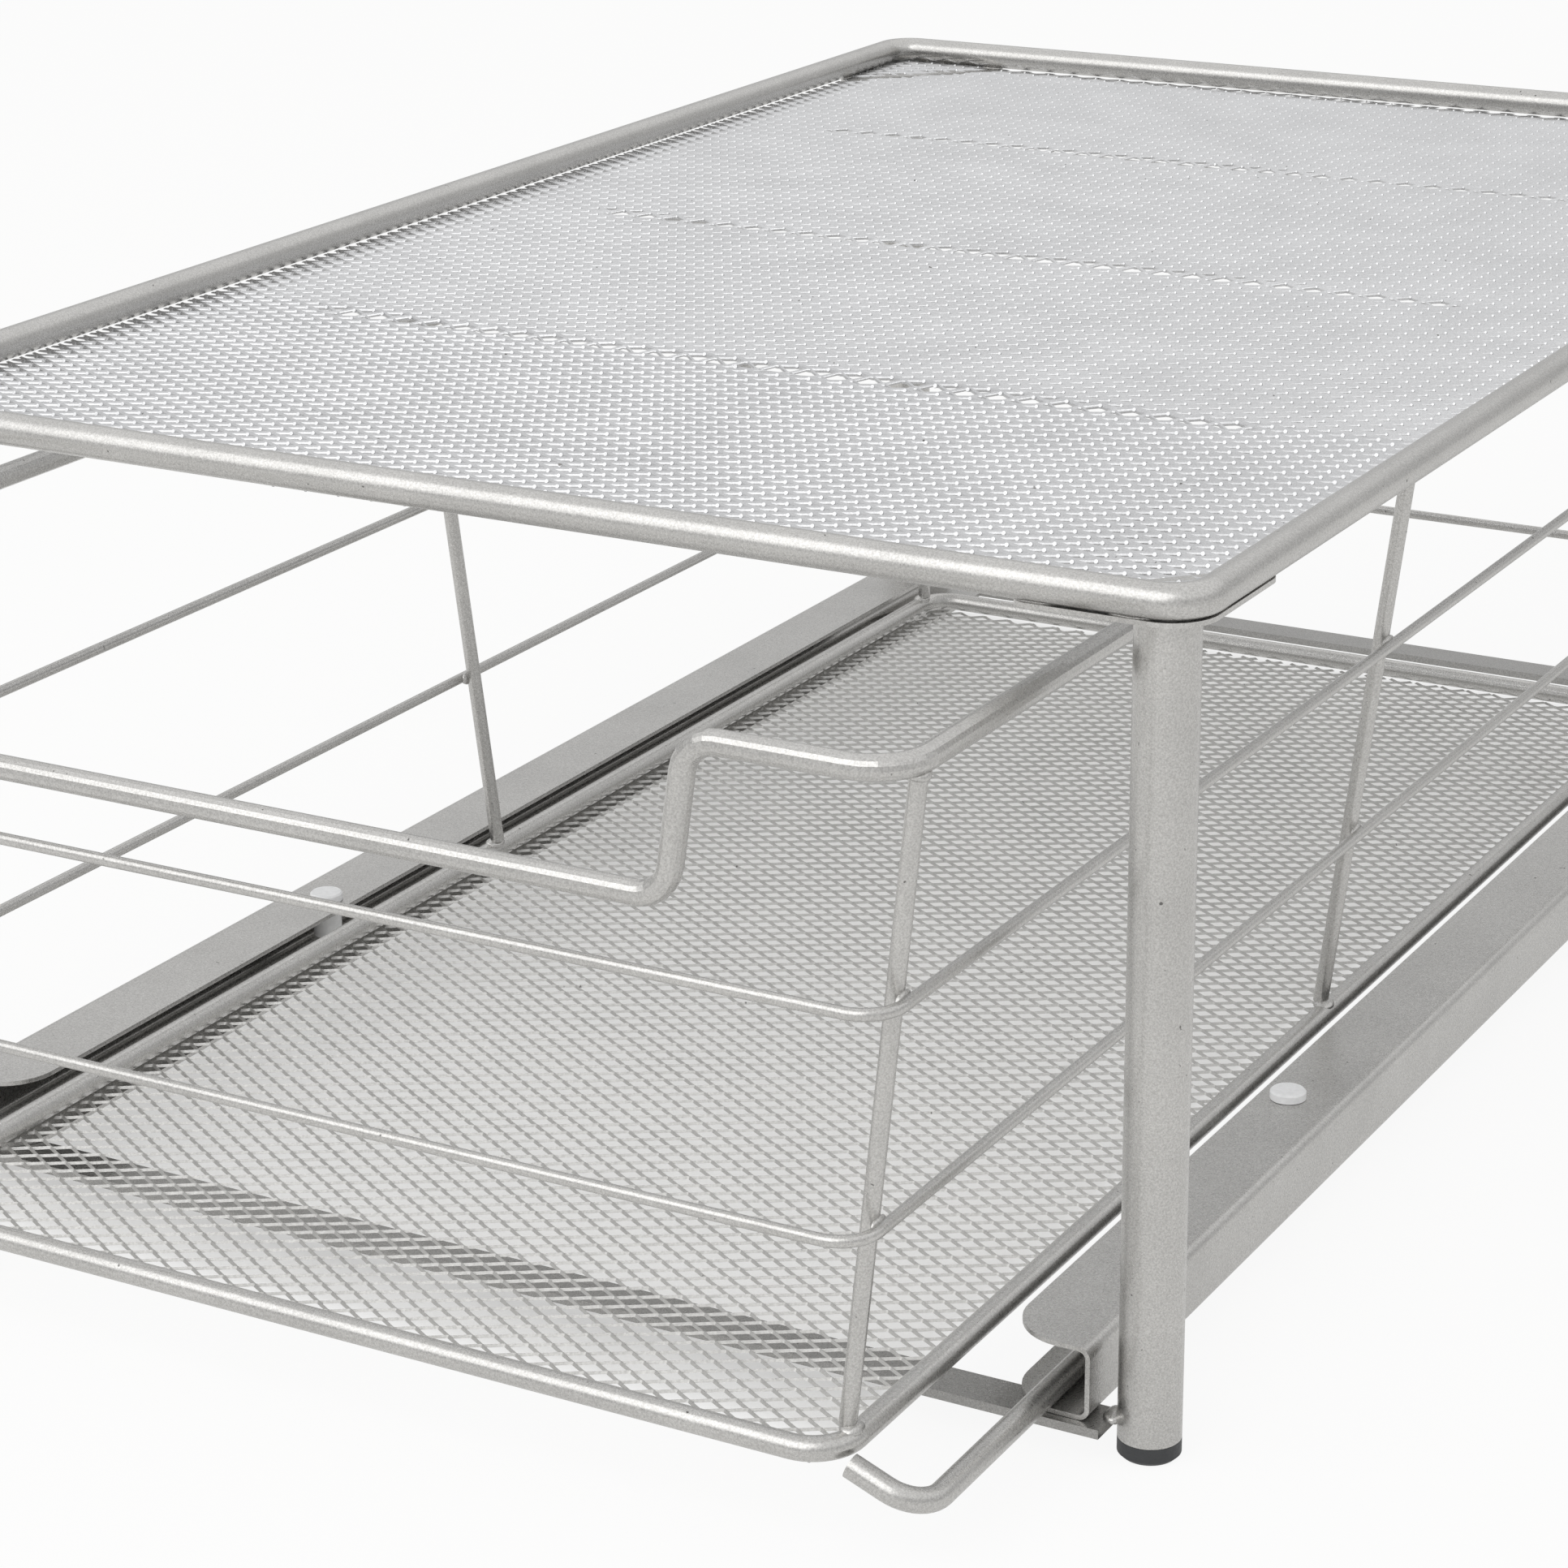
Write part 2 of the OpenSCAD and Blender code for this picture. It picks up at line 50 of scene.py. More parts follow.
def makeCamera(setup):
    a, e, r = (math.radians(setup[k]) for k in ("azimuth", "elevation", "roll"))
    back = Vector((math.sin(a) * math.cos(e), -math.cos(a) * math.cos(e), math.sin(e)))
    side = Vector((math.cos(a), math.sin(a), 0))
    up = back.cross(side)
    across = side * math.cos(r) + up * math.sin(r)
    upright = up * math.cos(r) - side * math.sin(r)
    data = bpy.data.cameras.new("camera")
    data.lens = setup["lens"]
    data.clip_start, data.clip_end = setup["clip"]
    cam = bpy.data.objects.new("camera", data)
    bpy.context.scene.collection.objects.link(cam)
    cam.matrix_world = Matrix((
        (across.x, upright.x, back.x, setup["place"][0]),
        (across.y, upright.y, back.y, setup["place"][1]),
        (across.z, upright.z, back.z, setup["place"][2]),
        (0, 0, 0, 1)))
    bpy.context.scene.camera = cam


makeCamera(cameraSetup)
bpy.context.scene.view_settings.view_transform = "Standard"


# Small helpers for node materials
def newMaterial(name):
    mat = bpy.data.materials.new(name)
    mat.use_nodes = True
    tree = mat.node_tree
    shader = tree.nodes["Principled BSDF"]
    coords = tree.nodes.new("ShaderNodeTexCoord")
    return mat, tree, shader, coords.outputs["Object"]


def addNoise(tree, coords, scale, detail=2, rough=0.5):
    node = tree.nodes.new("ShaderNodeTexNoise")
    node.inputs["Scale"].default_value = scale
    node.inputs["Detail"].default_value = detail
    node.inputs["Roughness"].default_value = rough
    tree.links.new(coords, node.inputs["Vector"])
    return node.outputs["Fac"]


def addRamp(tree, fac, places, colours):
    node = tree.nodes.new("ShaderNodeValToRGB")
    for stop, place, colour in zip(node.color_ramp.elements, places, colours):
        stop.position = place
        stop.color = (*colour, 1)
    tree.links.new(fac, node.inputs["Fac"])
    return node.outputs["Color"]


def addMix(tree, kind, fac, a, b):
    node = tree.nodes.new("ShaderNodeMix")
    node.data_type = "RGBA"
    node.blend_type = kind
    for socket, value in ((node.inputs[0], fac), (node.inputs[6], a), (node.inputs[7], b)):
        if isinstance(value, bpy.types.NodeSocket):
            tree.links.new(value, socket)
        else:
            socket.default_value = (*value, 1) if isinstance(value, tuple) else value
    return node.outputs[2]


def addMath(tree, kind, a, b):
    node = tree.nodes.new("ShaderNodeMath")
    node.operation = kind
    for socket, value in zip(node.inputs, (a, b)):
        if isinstance(value, bpy.types.NodeSocket):
            tree.links.new(value, socket)
        else:
            socket.default_value = value
    return node.outputs[0]


def addRoughness(tree, coords, shader, look):
    levels = [(look["roughness"] + off,) * 3 for off in look["roughSpread"]]
    rough = addRamp(tree, addNoise(tree, coords, look["roughScale"]), look["roughSpan"], levels)
    tree.links.new(rough, shader.inputs["Roughness"])


def addBump(tree, height, strength, distance, shader):
    node = tree.nodes.new("ShaderNodeBump")
    node.inputs["Strength"].default_value = strength
    node.inputs["Distance"].default_value = distance
    tree.links.new(height, node.inputs["Height"])
    tree.links.new(node.outputs["Normal"], shader.inputs["Normal"])


# Silver powder coat: fine metal flakes, soft clouds, a few dark pits
coatLook = {"dark": (0.475, 0.468, 0.455), "light": (0.65, 0.642, 0.625), "shadeTone": 1.0, "metallic": 0.88,
            "flakes": 2600, "flakeDetail": 3, "flakeGrit": 0.65, "flakeSpan": (0.36, 0.64),
            "clouds": 45, "cloudSpan": (0.3, 0.7), "cloudColours": ((0.92, 0.92, 0.92), (1.0, 1.0, 1.0)),
            "pits": 620, "pitDetail": 1, "pitSpan": (0.78, 0.82), "pit": (0.16, 0.155, 0.15),
            "roughness": 0.30, "roughScale": 1820, "roughSpan": (0.35, 0.65), "roughSpread": (-0.05, 0.07),
            "bumpScale": 1300, "bumpDetail": 3, "bumpStrength": 0.25, "bumpDepth": 0.0001}


def silverCoat(name, look):
    mat, tree, shader, coords = newMaterial(name)
    # A shade tone below 1 darkens the whole coat as painted shade
    shades = [tuple(c * look["shadeTone"] for c in look[shade]) for shade in ("dark", "light")]
    grain = addNoise(tree, coords, look["flakes"], look["flakeDetail"], look["flakeGrit"])
    flakes = addRamp(tree, grain, look["flakeSpan"], shades)
    clouds = addRamp(tree, addNoise(tree, coords, look["clouds"]), look["cloudSpan"], look["cloudColours"])
    coat = addMix(tree, "MULTIPLY", 1.0, flakes, clouds)
    pits = addNoise(tree, coords, look["pits"], look["pitDetail"])
    spots = addRamp(tree, pits, look["pitSpan"], ((0, 0, 0), (1, 1, 1)))
    colour = addMix(tree, "MIX", spots, coat, look["pit"])
    tree.links.new(colour, shader.inputs["Base Color"])
    shader.inputs["Metallic"].default_value = look["metallic"]
    addRoughness(tree, coords, shader, look)
    height = addNoise(tree, coords, look["bumpScale"], look["bumpDetail"])
    addBump(tree, height, look["bumpStrength"], look["bumpDepth"], shader)
    return mat


wireCoat = silverCoat("wire_coat", coatLook)

shadedBarLook = dict(coatLook, shadeTone=0.7)    # painted shade: the flat bars' coat is darker than the wires' to stand in for the shadow they lie in
shadedBarCoat = silverCoat("bar_coat_painted_shade", shadedBarLook)


# The sheets of expanded metal are paler, with less between their flakes' shades
sheetLook = dict(coatLook, dark=(0.55, 0.553, 0.562), light=(0.64, 0.643, 0.652), roughness=0.31)
# Painted sheen: the middle and rear shelf pieces get a paler coat, standing in for the brighter look of the
# far sheet seen at a grazing angle
sheenRearSheetLook = dict(sheetLook, dark=(0.60, 0.603, 0.612), light=(0.70, 0.703, 0.712))
floorSheetLook = dict(sheetLook, dark=(0.51, 0.505, 0.49), light=(0.58, 0.575, 0.56), roughness=0.5)

meshCoat = silverCoat("mesh_coat", sheetLook)
sheenRearMeshCoat = silverCoat("rear_mesh_coat_painted_sheen", sheenRearSheetLook)
floorCoat = silverCoat("floor_coat", floorSheetLook)


# White plastic of the rivets, black plastic of the feet
glideLook = {"colour": (0.95, 0.955, 0.96), "shade": 0.92, "tintScale": 900, "tintDetail": 3,
             "tintSpan": (0.35, 0.65), "roughness": 0.35, "roughScale": 1500, "roughSpan": (0.3, 0.7),
             "roughSpread": (-0.06, 0.08), "bumpScale": 1800, "bumpStrength": 0.2, "bumpDepth": 0.0001}
footLook = dict(glideLook, colour=(0.045, 0.047, 0.05), roughness=0.5)


def plastic(name, look):
    mat, tree, shader, coords = newMaterial(name)
    shade = tuple(c * look["shade"] for c in look["colour"])
    mottle = addNoise(tree, coords, look["tintScale"], look["tintDetail"])
    tint = addRamp(tree, mottle, look["tintSpan"], (shade, look["colour"]))
    tree.links.new(tint, shader.inputs["Base Color"])
    addRoughness(tree, coords, shader, look)
    height = addNoise(tree, coords, look["bumpScale"])
    addBump(tree, height, look["bumpStrength"], look["bumpDepth"], shader)
    return mat


glidePlastic = plastic("glide_plastic", glideLook)
footPlastic = plastic("foot_plastic", footLook)


def dressNode(node, mat):
    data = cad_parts[node].data
    data.materials.clear()
    data.materials.append(mat)


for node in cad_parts:
    if node.startswith("glide"):
        dressNode(node, glidePlastic)
    elif node.startswith("foot"):
        dressNode(node, footPlastic)
    elif node.endswith("bar"):
        dressNode(node, shadedBarCoat)
    elif "mesh" not in node:
        dressNode(node, wireCoat)
print("stage: materials made")


def finishPiece(bm, name, mat, body, replaced=(), smooth=True):
    bmesh.ops.recalc_face_normals(bm, faces=bm.faces)
    data = bpy.data.meshes.new(name)
    bm.to_mesh(data)
    bm.free()
    for face in data.polygons:
        face.use_smooth = smooth
    data.materials.append(mat)
    obj = bpy.data.objects.new(name, data)
    bpy.context.scene.collection.objects.link(obj)
    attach(obj, body)
    if replaced:
        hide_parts(*replaced)


# Expanded metal: zigzag strands, joined where their flat bends meet
strand = {"long": 0.0079, "short": 0.00465, "spareColumns": 2, "spareDepth": 0.004}

# Sections of a strand, y and z of each corner
raised = [(-0.00030, -0.00080), (-0.00042, -0.00024), (-0.00018, 0.00010), (0.00042, 0.00040)]
lowered = [(-0.00030, -0.00080), (-0.00041, -0.00022), (-0.00028, -0.00004), (0.00042, 0.00040)]
leaning = [(-0.00030, -0.00026), (-0.00008, -0.00036), (0.00028, 0.00024), (0.00010, 0.00030)]


def strandPair(count, section, bond, lift):
    bm = bmesh.new()
    form = bm.verts.layers.float_vector.new("form")    # place in the section, and the zigzag's swing
    half = strand["short"] / 2
    halfWidth = (max(y for y, z in section) - min(y for y, z in section)) / 2
    climb = Vector((strand["long"] / 2 - bond, half - 2 * halfWidth, 0))
    for row in (0, 1):
        start = Vector((-strand["long"] * (count + row) / 2, row * half - climb.y / 2, -lift / 2))
        face = bm.faces.new([bm.verts.new(start + Vector((0, y, z))) for y, z in section])
        for v, (y, z) in zip(face.verts, section):
            v[form] = Vector((y, z, -climb.y / 2))
        for step in range(2 * count):
            way = 1 if step % 2 == 0 else -1
            for move in (Vector((bond, 0, 0)), Vector((climb.x, way * climb.y, way * lift))):
                made = bmesh.ops.extrude_face_region(bm, geom=[face])["geom"]
                bmesh.ops.delete(bm, geom=[face], context="FACES_ONLY")
                face = next(g for g in made if isinstance(g, bmesh.types.BMFace))
                bmesh.ops.translate(bm, verts=face.verts, vec=move)
                for v in face.verts:
                    v[form] = v[form] + Vector((0, 0, move.y))
    return bm


# Knuckle of coat at a bend's front, a low stud that leans to the front
knuckle = {"radius": 0.00046, "foot": 0.00054, "height": 0.00025, "sides": 7, "lean": 55, "along": 0.00435,
           "y": 0.00042, "z": -0.00006}
smallKnuckle = dict(knuckle, radius=0.00030, foot=0.00040)


def knucklePair(k):
    bm = bmesh.new()
    half = strand["short"] / 2
    tilt = Matrix.Rotation(math.radians(k["lean"]), 4, "X")
    for spot in (Vector((0, 0, 0)), Vector((strand["long"] / 2, half, 0))):
        place = Matrix.Translation(spot + Vector((k["along"], k["y"], k["z"])))
        bmesh.ops.create_cone(bm, cap_ends=True, segments=k["sides"], radius1=k["foot"], radius2=k["radius"],
                              depth=k["height"], matrix=place @ tilt)
    return bm


# Three beads pressed across the shelf sheet; strands in them are pulled thin and open
bead = {"rows": (-0.1135, 0.0120, 0.1370), "middle": -0.0055, "half": 0.1195, "front": 0.0022, "rear": 0.0028,
        "depth": 0.0012, "fallOver": 0.0012, "endOver": 0.003, "reach": 0.004, "drawnHalf": 0.0030,
        "drawnOver": 0.0006, "openShare": 0.45, "thinShare": 0.4, "bareFront": 0.0024, "bareRear": 0.0028}


def bareBeads(bm, sides):    # no knuckles in the beads
    bm.verts.ensure_lookup_table()
    gone = []
    for first in range(0, len(bm.verts), 2 * sides):
        group = bm.verts[first:first + 2 * sides]
        x, y = group[0].co.x, sum(v.co.y for v in group) / len(group)
        inside = abs(x - bead["middle"]) < bead["half"]
        if inside and any(-bead["bareFront"] < y - row < bead["bareRear"] for row in bead["rows"]):
            gone += group
    bmesh.ops.delete(bm, geom=gone, context="VERTS")


def repeated(bm, name, counts, steps):
    data = bpy.data.meshes.new(name)
    bm.to_mesh(data)
    bm.free()
    seed = bpy.data.objects.new(name, data)
    bpy.context.scene.collection.objects.link(seed)
    for count, step in zip(counts, steps):
        array = seed.modifiers.new("rows", "ARRAY")
        array.use_relative_offset = False
        array.use_constant_offset = True
        array.constant_offset_displace = step
        array.count = count
    copied = bpy.data.meshes.new_from_object(seed.evaluated_get(bpy.context.evaluated_depsgraph_get()))
    bpy.data.objects.remove(seed)
    out = bmesh.new()
    out.from_mesh(copied)
    bpy.data.meshes.remove(copied)
    return out


def layDown(bm, offset, turn):
    bmesh.ops.translate(bm, verts=bm.verts, vec=offset)
    bmesh.ops.rotate(bm, verts=bm.verts, cent=(0, 0, 0), matrix=Matrix.Rotation(turn, 3, "Z"))


def addKnuckles(bm, studs, counts, start, turn):
    steps = ((strand["long"], 0, 0), (0, strand["short"], 0))
    more = repeated(knucklePair(studs), "knuckles", counts, steps)
    layDown(more, (-strand["long"] * counts[0] / 2, start, 0), turn)
    bareBeads(more, studs["sides"])
    data = bpy.data.meshes.new("knuckles")
    more.to_mesh(data)
    more.free()
    bm.from_mesh(data)
    bpy.data.meshes.remove(data)


trimming = {"turns": (30, 60), "near": 1e-7, "holeSides": 8}    # corners are cut twice


def trimSheet(bm, low, high, cutCorners, cornerR):
    planes = [(Vector((low[0], 0, 0)), Vector((-1, 0, 0))), (Vector((high[0], 0, 0)), Vector((1, 0, 0))),
              (Vector((0, low[1], 0)), Vector((0, -1, 0))), (Vector((0, high[1], 0)), Vector((0, 1, 0)))]
    farX, farY = abs(high[0]), max(abs(low[1]), abs(high[1]))
    for sx, sy in cutCorners:
        centre = Vector((sx * (farX - cornerR), sy * (farY - cornerR), 0))
        for turn in trimming["turns"]:
            across = Vector((sx * math.cos(math.radians(turn)), sy * math.sin(math.radians(turn)), 0))
            planes.append((centre + across * cornerR, across))
    for place, out in planes:
        cut = bmesh.ops.bisect_plane(bm, geom=bm.verts[:] + bm.edges[:] + bm.faces[:], dist=trimming["near"],
                                     plane_co=place, plane_no=out, clear_outer=True)
        ends = [g for g in cut["geom_cut"] if isinstance(g, bmesh.types.BMEdge)]
        bmesh.ops.holes_fill(bm, edges=ends, sides=trimming["holeSides"])


def expandedSheet(name, sheet, part, body, node, shape=None):
    half, turn, rows = sheet["half"], sheet["turn"], part["rows"]
    columns = math.ceil(2 * half[0] / strand["long"]) + strand["spareColumns"]
    reach = half[0] * math.tan(abs(turn)) + strand["spareDepth"]
    start = math.floor((rows[0] - reach) / strand["short"]) * strand["short"]
    count = math.ceil((rows[1] + reach - start) / strand["short"])
    pair = strandPair(columns, part["section"], sheet["bond"], sheet["lift"])
    bm = repeated(pair, "strands", (count,), ((0, strand["short"], 0),))
    layDown(bm, (0, start, 0), turn)
    if part["studs"]:
        addKnuckles(bm, part["studs"], (columns, count), start, turn)
    corners = [(sx, sy) for sx in (-1, 1) for sy, row in zip((-1, 1), rows) if abs(row) == half[1]]
    trimSheet(bm, (-half[0], rows[0]), (half[0], rows[1]), corners, sheet["cornerR"])
    if shape:
        form = bm.verts.layers.float_vector["form"]
        for v in bm.verts:
            v.co = shape(v.co, v[form])
    bmesh.ops.translate(bm, verts=bm.verts, vec=(0, sheet["middle"], sheet["z"]))
    finishPiece(bm, name, part["coat"], body, (node,), smooth=False)


# Shelf sheet, slightly wavy, pressed flat at the rim and over the gussets
shelfSheet = {"half": (0.1575, 0.2445), "cornerR": 0.007, "middle": frameY, "z": 0.1725,
              "turn": math.radians(0.8), "bond": 0.0007, "lift": 0, "cuts": (-0.1080, 0.0680)}
shelfWave = {"scale": (11, 9), "layer": 0.3, "height": 0.0003, "calmEdge": 0.03}
rimPress = {"over": 0.005, "flatShare": 0.8, "lift": 0.0003}
plate = {"edge": (0.1602, 0.2472), "arms": (0.038, 0.039), "over": 0.0015, "flatShare": 0.4, "lift": 0.0007}


def share(value):
    return min(1, max(0, value))


def overPlate(co):
    fromX, fromY = plate["edge"][0] - abs(co.x), plate["edge"][1] - abs(co.y)
    inside = 1 - fromX / plate["arms"][0] - fromY / plate["arms"][1]
    return share(inside * plate["arms"][0] / plate["over"] + 1)


def pressBead(out, co, form, off, y):
    ends = share((bead["half"] - abs(co.x - bead["middle"])) / bead["endOver"])
    drawn = ends * share((bead["drawnHalf"] - abs(off)) / bead["drawnOver"])
    out.y += drawn * (bead["openShare"] * form.z - bead["thinShare"] * form.x)
    out.z -= drawn * bead["thinShare"] * form.y
    fall = share((out.y - y + bead["front"]) / bead["fallOver"])
    rise = share((bead["rear"] - out.y + y) / bead["rear"])
    out.z -= bead["depth"] * ends * min(fall, rise)


def shelfShape(co, form):
    out = co.copy()
    row = co.y - form.x - form.z    # middle of the strand's own row
    for y in bead["rows"]:
        if abs(row - y) < bead["reach"]:
            pressBead(out, co, form, row - y, y)
    fromX, fromY = shelfSheet["half"][0] - abs(co.x), shelfSheet["half"][1] - abs(co.y)
    w = shelfWave
    swell = noise.noise(Vector((co.x * w["scale"][0], co.y * w["scale"][1], w["layer"])))
    wave = swell * w["height"] * min(1, fromX / w["calmEdge"], fromY / w["calmEdge"])
    atRim = 1 - share(fromX / rimPress["over"]) * share(fromY / rimPress["over"])
    pressed = overPlate(co)
    flat = max(rimPress["flatShare"] * atRim, plate["flatShare"] * pressed)
    lift = max(rimPress["lift"] * atRim, plate["lift"] * pressed)
    out.z += wave - flat * form.y + lift
    return out


shelfRows = (-shelfSheet["half"][1], *shelfSheet["cuts"], shelfSheet["half"][1])
shelfParts = {
    "front": {"rows": shelfRows[0:2], "section": raised, "studs": knuckle, "coat": meshCoat},
    "middle": {"rows": shelfRows[1:3], "section": lowered, "studs": smallKnuckle, "coat": sheenRearMeshCoat},
    "rear": {"rows": shelfRows[2:4], "section": lowered, "studs": smallKnuckle, "coat": sheenRearMeshCoat}}
for place, part in shelfParts.items():
    expandedSheet("shelf_sheet_" + place, shelfSheet, part, "frame", "shelf_mesh", shelfShape)
print("stage: shelf sheet made")


# Drawer floor sheet, its strands without knuckles
floorSheet = {"half": (0.1136, 0.2420), "cornerR": 0.008, "middle": drawerY, "z": 0.0178,
              "turn": math.radians(-0.5), "bond": 0.0004, "lift": 0.0003}
floorPart = {"rows": (-floorSheet["half"][1], floorSheet["half"][1]), "section": leaning, "studs": None,
             "coat": floorCoat}
expandedSheet("floor_sheet", floorSheet, floorPart, "drawer", "floor_mesh")
print("stage: floor sheet made")


# Lumps of weld and coat where wires, plates and bars meet
lumpLook = {"subdivisions": 3, "rough": 0.12, "grain": 1.7, "spread": 900}


def weldLumps(name, spots, body, mat):
    bm = bmesh.new()
    for at, half in spots:
        ball = bmesh.ops.create_icosphere(bm, subdivisions=lumpLook["subdivisions"], radius=1)["verts"]
        for v in ball:
            grain = noise.noise(v.co * lumpLook["grain"] + Vector(at) * lumpLook["spread"])
            rough = 1 + lumpLook["rough"] * grain
            v.co = Vector(at) + Vector([c * h * rough for c, h in zip(v.co, half)])
    finishPiece(bm, name, mat, body)


# The drawer's uprights: x and z of their ends, y of each one's foot and head
uprights = {"foot": (0.11345, 0.0225), "head": (0.1299, 0.156),
            "rows": ((-0.2640, -0.2675), (-0.0330, -0.0330), (0.2060, 0.2095))}
footLump = {"z": 0.0228, "outwards": 0.0008, "half": (0.0023, 0.0030, 0.0014)}
lowerLump = {"z": 0.0667, "outwards": 0.0017, "half": (0.0010, 0.0028, 0.0018)}
upperLump = dict(lowerLump, z=0.1126)
headLump = {"z": 0.1560, "outwards": 0.0002, "half": (0.0022, 0.0026, 0.0012)}


def uprightSpots():
    foot, head = uprights["foot"], uprights["head"]
    spots = []
    for sx in (-1, 1):
        for footY, headY in uprights["rows"]:
            for lump in (footLump, lowerLump, upperLump, headLump):
                t = (lump["z"] - foot[1]) / (head[1] - foot[1])
                x = foot[0] + t * (head[0] - foot[0]) + lump["outwards"]
                spots.append(((sx * x, footY + t * (headY - footY), lump["z"]), lump["half"]))
    return spots


# The frame's gussets hang from the rim on short seams, and its bars end at the legs
gussetLumps = {"z": 0.17295, "acrossX": (0.1460, 0.1270), "acrossY": 0.2452, "sideX": 0.1582,
               "sideY": (0.2330, 0.2130), "long": 0.0050, "wide": 0.0014, "high": 0.0004}
barLumps = {"x": 0.1440, "rows": (-0.21087, 0.26829), "z": 0.0080, "half": (0.0022, 0.0032, 0.0014)}


def frameSpots():
    g = gussetLumps
    seams = [((x, g["acrossY"]), (g["long"], g["wide"], g["high"])) for x in g["acrossX"]]
    seams += [((g["sideX"], y), (g["wide"], g["long"], g["high"])) for y in g["sideY"]]
    spots = []
    for sx in (-1, 1):
        for sy in (-1, 1):
            spots += [((sx * x, frameY + sy * y, g["z"]), half) for (x, y), half in seams]
        spots += [((sx * barLumps["x"], y, barLumps["z"]), barLumps["half"]) for y in barLumps["rows"]]
    return spots


weldLumps("drawer_welds", uprightSpots(), "drawer", wireCoat)
weldLumps("frame_welds", frameSpots(), "frame", wireCoat)
print("stage: welds made")


# Floor of white paper, which stays unlit white beside the object and is shaded below the drawer
stageLook = {"floor": (0.90, 0.893, 0.872), "glow": (1, 1, 1), "white": 0.90, "glossy": 0.5, "size": 16,
             "shaded": (0.42, 0.34),    # at the drawer's front and rear
             "shade": {"middle": (-0.0245, 0.0145), "half": (0.1145, 0.2425), "soft": 0.01}}


def addRange(tree, value, low, high):
    node = tree.nodes.new("ShaderNodeMapRange")
    node.inputs["From Min"].default_value = low
    node.inputs["From Max"].default_value = high
    tree.links.new(value, node.inputs["Value"])
    return node


def paperGlow(tree, look):
    shade = look["shade"]
    coords = tree.nodes.new("ShaderNodeTexCoord")
    parts = tree.nodes.new("ShaderNodeSeparateXYZ")
    tree.links.new(coords.outputs["Object"], parts.inputs[0])
    outside = []
    for axis, middle, half in zip("XY", shade["middle"], shade["half"]):
        off = addMath(tree, "SUBTRACT", parts.outputs[axis], middle)
        outside.append(addMath(tree, "SUBTRACT", addMath(tree, "ABSOLUTE", off, 0), half))
    deeper = addRange(tree, parts.outputs["Y"], -shade["half"][1], shade["half"][1])
    deeper.inputs["To Min"].default_value, deeper.inputs["To Max"].default_value = look["shaded"]
    clear = addRange(tree, addMath(tree, "MAXIMUM", *outside), 0, shade["soft"])
    tree.links.new(deeper.outputs["Result"], clear.inputs["To Min"])
    clear.inputs["To Max"].default_value = look["white"]
    path = tree.nodes.new("ShaderNodeLightPath")
    direct = addMath(tree, "MULTIPLY", path.outputs["Is Camera Ray"], clear.outputs["Result"])
    passed = addMath(tree, "MULTIPLY", path.outputs["Is Transmission Ray"], clear.outputs["Result"])
    mirrored = addMath(tree, "MULTIPLY", path.outputs["Is Glossy Ray"], look["glossy"])
    return addMath(tree, "MAXIMUM", addMath(tree, "MAXIMUM", direct, passed), mirrored)


def floorPaper(look):
    mat = bpy.data.materials.new("floor_paper")
    mat.use_nodes = True
    tree = mat.node_tree
    tree.nodes.clear()
    out = tree.nodes.new("ShaderNodeOutputMaterial")
    paper = tree.nodes.new("ShaderNodeBsdfDiffuse")
    paper.inputs["Color"].default_value = (*look["floor"], 1)
    glow = tree.nodes.new("ShaderNodeEmission")
    glow.inputs["Color"].default_value = (*look["glow"], 1)
    mix = tree.nodes.new("ShaderNodeMixShader")
    tree.links.new(paperGlow(tree, look), mix.inputs["Fac"])
    tree.links.new(paper.outputs[0], mix.inputs[1])
    tree.links.new(glow.outputs[0], mix.inputs[2])
    tree.links.new(mix.outputs[0], out.inputs["Surface"])
    return mat


def makeFloor(look):
    bm = bmesh.new()
    bmesh.ops.create_grid(bm, x_segments=1, y_segments=1, size=look["size"] / 2)
    data = bpy.data.meshes.new("floor")
    bm.to_mesh(data)
    bm.free()
    data.materials.append(floorPaper(look))
    floor = bpy.data.objects.new("floor", data)
    bpy.context.scene.collection.objects.link(floor)


makeFloor(stageLook)


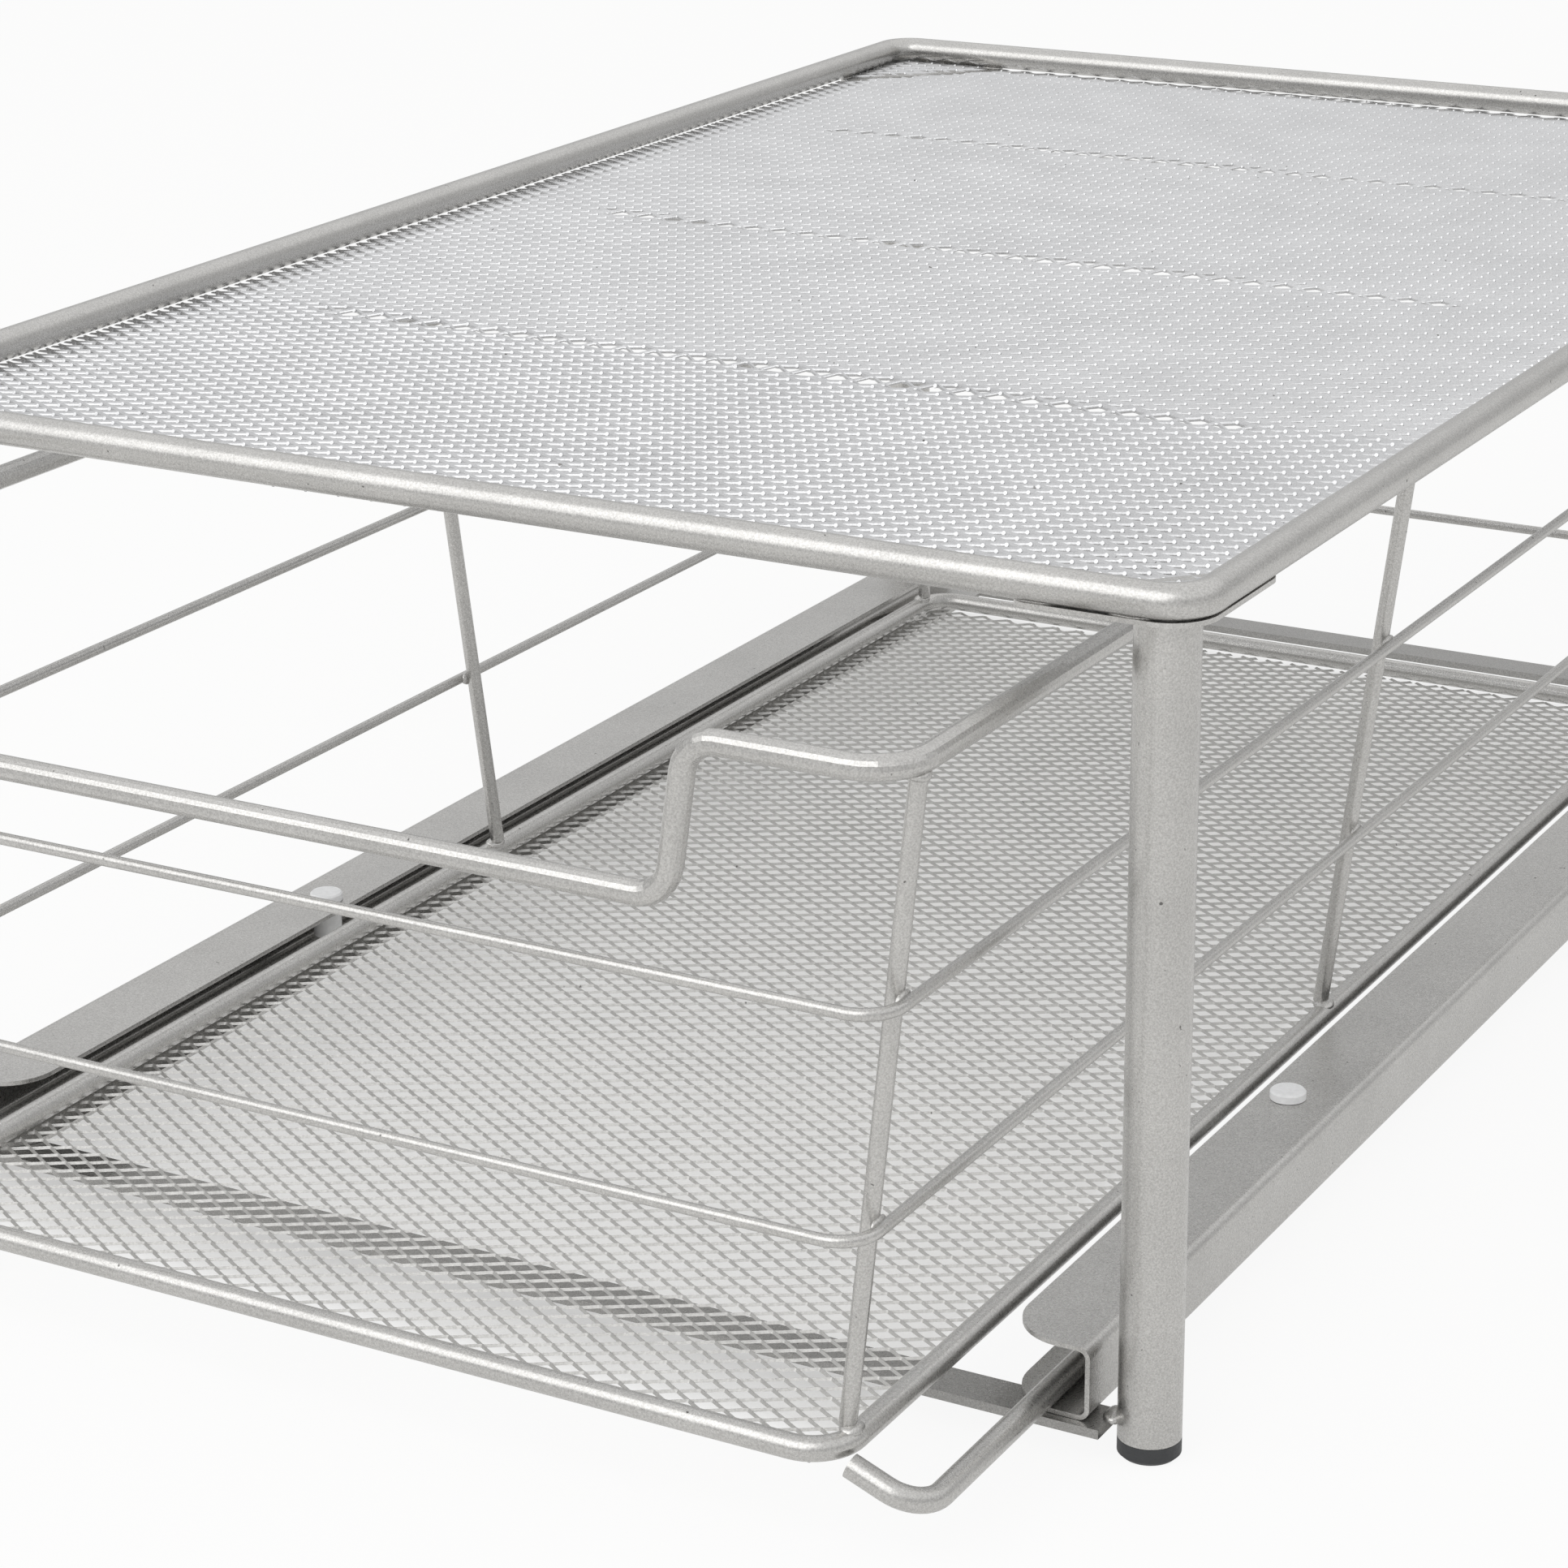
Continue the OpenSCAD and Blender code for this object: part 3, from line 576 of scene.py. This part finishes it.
# White world; the metal mirrors a greyer wall in it up to some way above the horizon
worldLook = {"colour": (1, 1, 1), "light": 0.7, "wall": (0.35, 0.5), "wallGrey": 0.62}


def makeWorld(look):
    world = bpy.data.worlds.new("studio")
    bpy.context.scene.world = world
    world.use_nodes = True
    tree = world.node_tree
    back = tree.nodes["Background"]
    back.inputs["Color"].default_value = (*look["colour"], 1)
    path = tree.nodes.new("ShaderNodeLightPath")
    seen = addMath(tree, "MAXIMUM", path.outputs["Is Camera Ray"], path.outputs["Is Glossy Ray"])
    seen = addMath(tree, "MAXIMUM", seen, path.outputs["Is Transmission Ray"])
    coords = tree.nodes.new("ShaderNodeTexCoord")
    parts = tree.nodes.new("ShaderNodeSeparateXYZ")
    tree.links.new(coords.outputs["Generated"], parts.inputs[0])
    wall = addRange(tree, parts.outputs["Z"], *look["wall"])
    wall.inputs["To Min"].default_value = look["wallGrey"]
    notGlossy = addMath(tree, "SUBTRACT", 1, path.outputs["Is Glossy Ray"])
    bright = addMath(tree, "MAXIMUM", wall.outputs["Result"], notGlossy)
    level = tree.nodes.new("ShaderNodeMix")
    level.inputs[2].default_value = look["light"]
    tree.links.new(seen, level.inputs[0])
    tree.links.new(bright, level.inputs[3])
    tree.links.new(level.outputs[0], back.inputs["Strength"])


makeWorld(worldLook)


# One large soft lamp, up in front and a little to the left
keyLamp = {"azimuth": 12, "elevation": 40, "distance": 1.7, "size": (2.0, 1.4), "radiance": 1.15}


def makeLamp(name, setup):
    a, e = math.radians(setup["azimuth"]), math.radians(setup["elevation"])
    out = Vector((-math.sin(a) * math.cos(e), -math.cos(a) * math.cos(e), math.sin(e)))
    data = bpy.data.lights.new(name, "AREA")
    data.shape = "RECTANGLE"
    data.size, data.size_y = setup["size"]
    data.energy = setup["radiance"] * math.pi * setup["size"][0] * setup["size"][1]
    lamp = bpy.data.objects.new(name, data)
    bpy.context.scene.collection.objects.link(lamp)
    lamp.location = out * setup["distance"]
    lamp.rotation_mode = "QUATERNION"
    lamp.rotation_quaternion = out.to_track_quat("Z", "Y")
    lamp.visible_camera = False


makeLamp("key", keyLamp)
print("stage: lights made")
